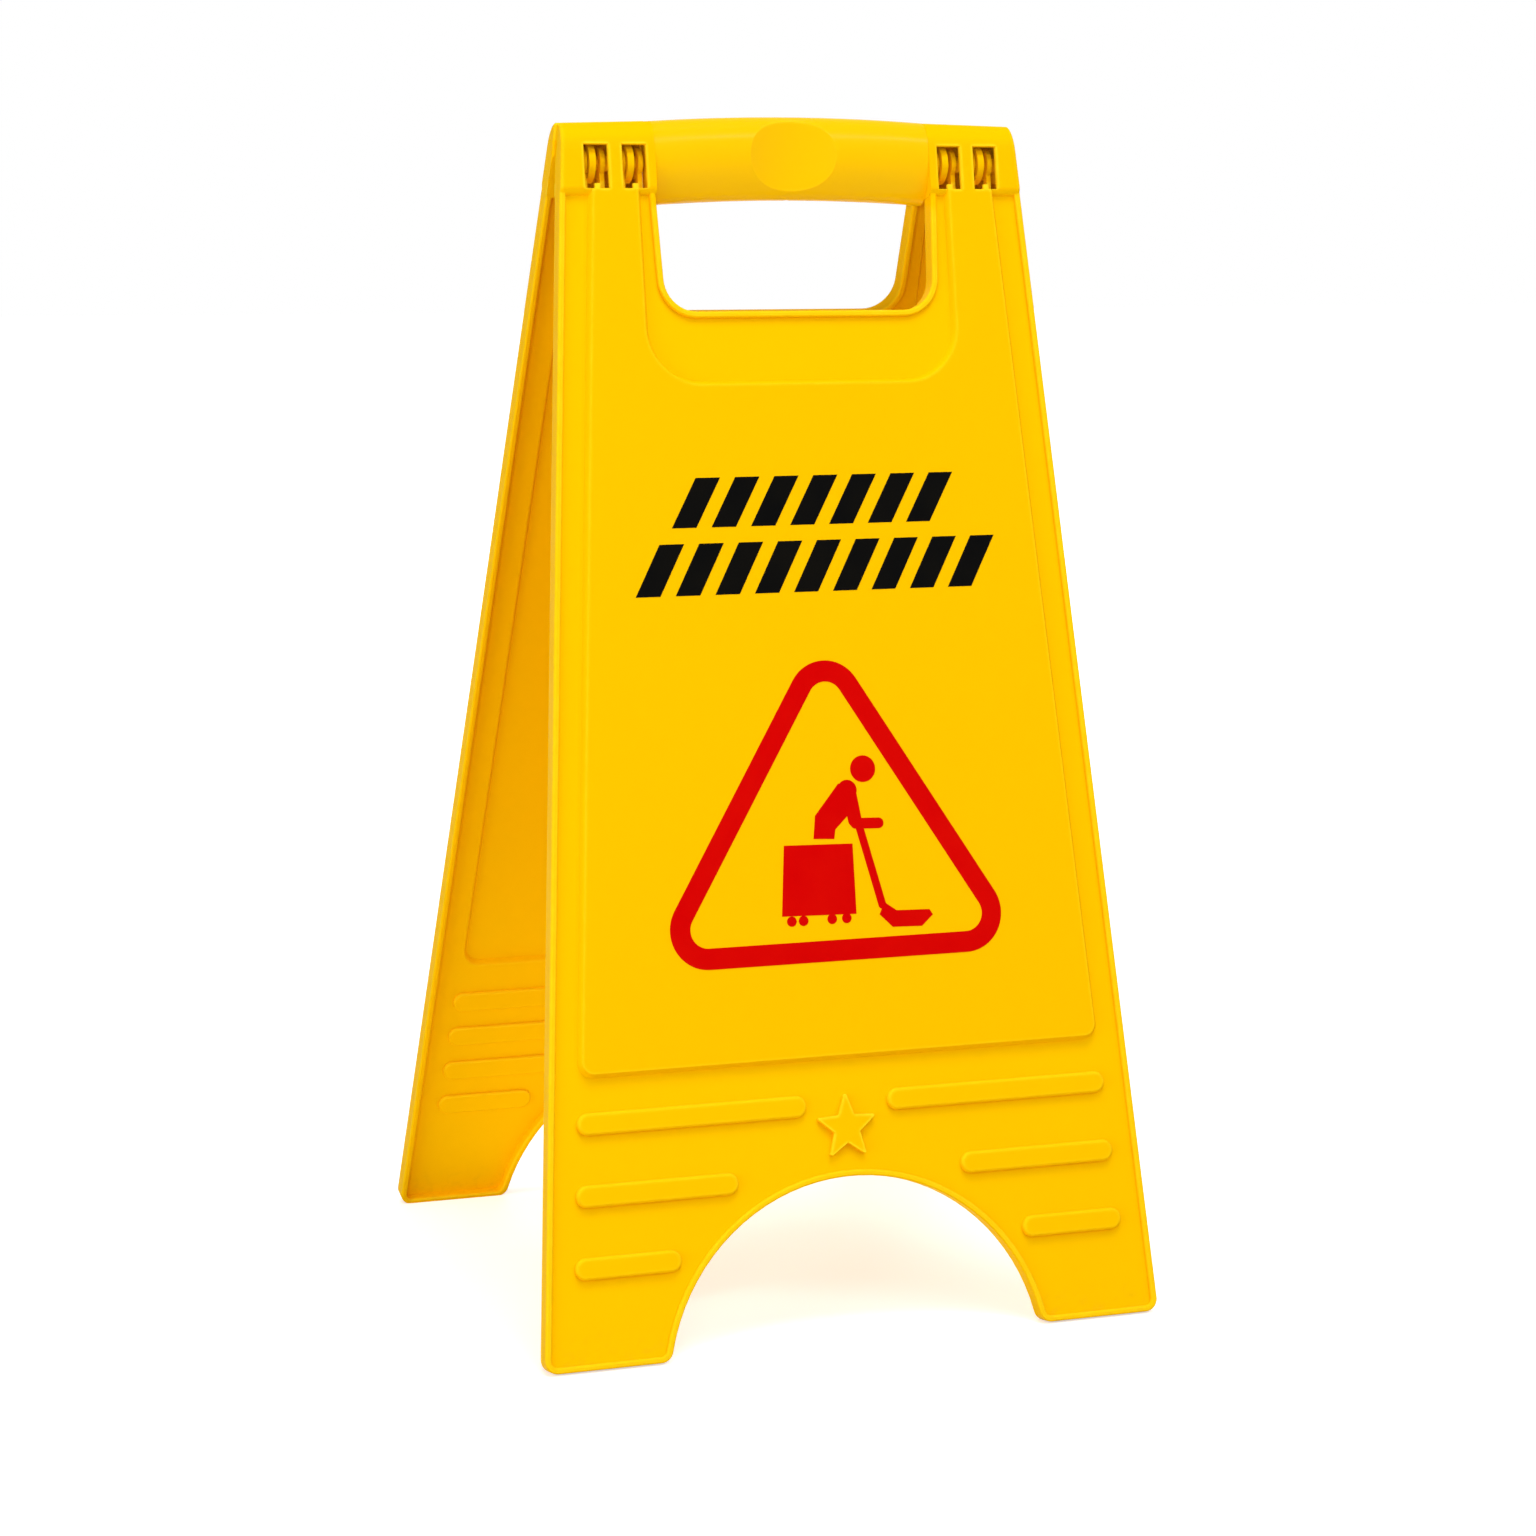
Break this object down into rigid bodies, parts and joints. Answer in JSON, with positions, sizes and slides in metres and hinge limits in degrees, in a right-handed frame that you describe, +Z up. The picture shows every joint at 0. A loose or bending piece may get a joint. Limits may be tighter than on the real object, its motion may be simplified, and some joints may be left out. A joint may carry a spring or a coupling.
{
  "type": "folding floor caution sign",
  "caption": "Free-standing A-frame floor sign: tapered moulded leaves hinged on a carry grip, with warning prints, hand openings and arched feet.",
  "frame": {"origin": "on the floor, midway between the feet", "axes": "+Z up, -Y towards the front leaf, X along the hinge"},
  "size_m": [0.3323, 0.2936, 0.6067],
  "materials": {
    "yellow_plastic": "semi-gloss injection moulded",
    "pin_plastic": "injection moulded",
    "red_ink": "screen print",
    "black_ink": "screen print"
  },
  "bodies": {
    "front": {"front_leaf": "yellow_plastic", "carry_grip": "yellow_plastic", "left_hinge_pin": "pin_plastic", "right_hinge_pin": "pin_plastic", "front_triangle_print": "red_ink", "front_pictogram_print": "red_ink", "front_stripe_print": "black_ink"},
    "rear": {"rear_leaf": "yellow_plastic", "rear_triangle_print": "red_ink", "rear_pictogram_print": "red_ink", "rear_stripe_print": "black_ink"}
  },
  "joints": [
    {"name": "leaf_fold", "type": "hinge", "parent": "front", "child": "rear", "pos_m": [0, 0, 0.58318], "axis": [1, 0, 0], "range_deg": [-26.26, 0]}
  ]
}
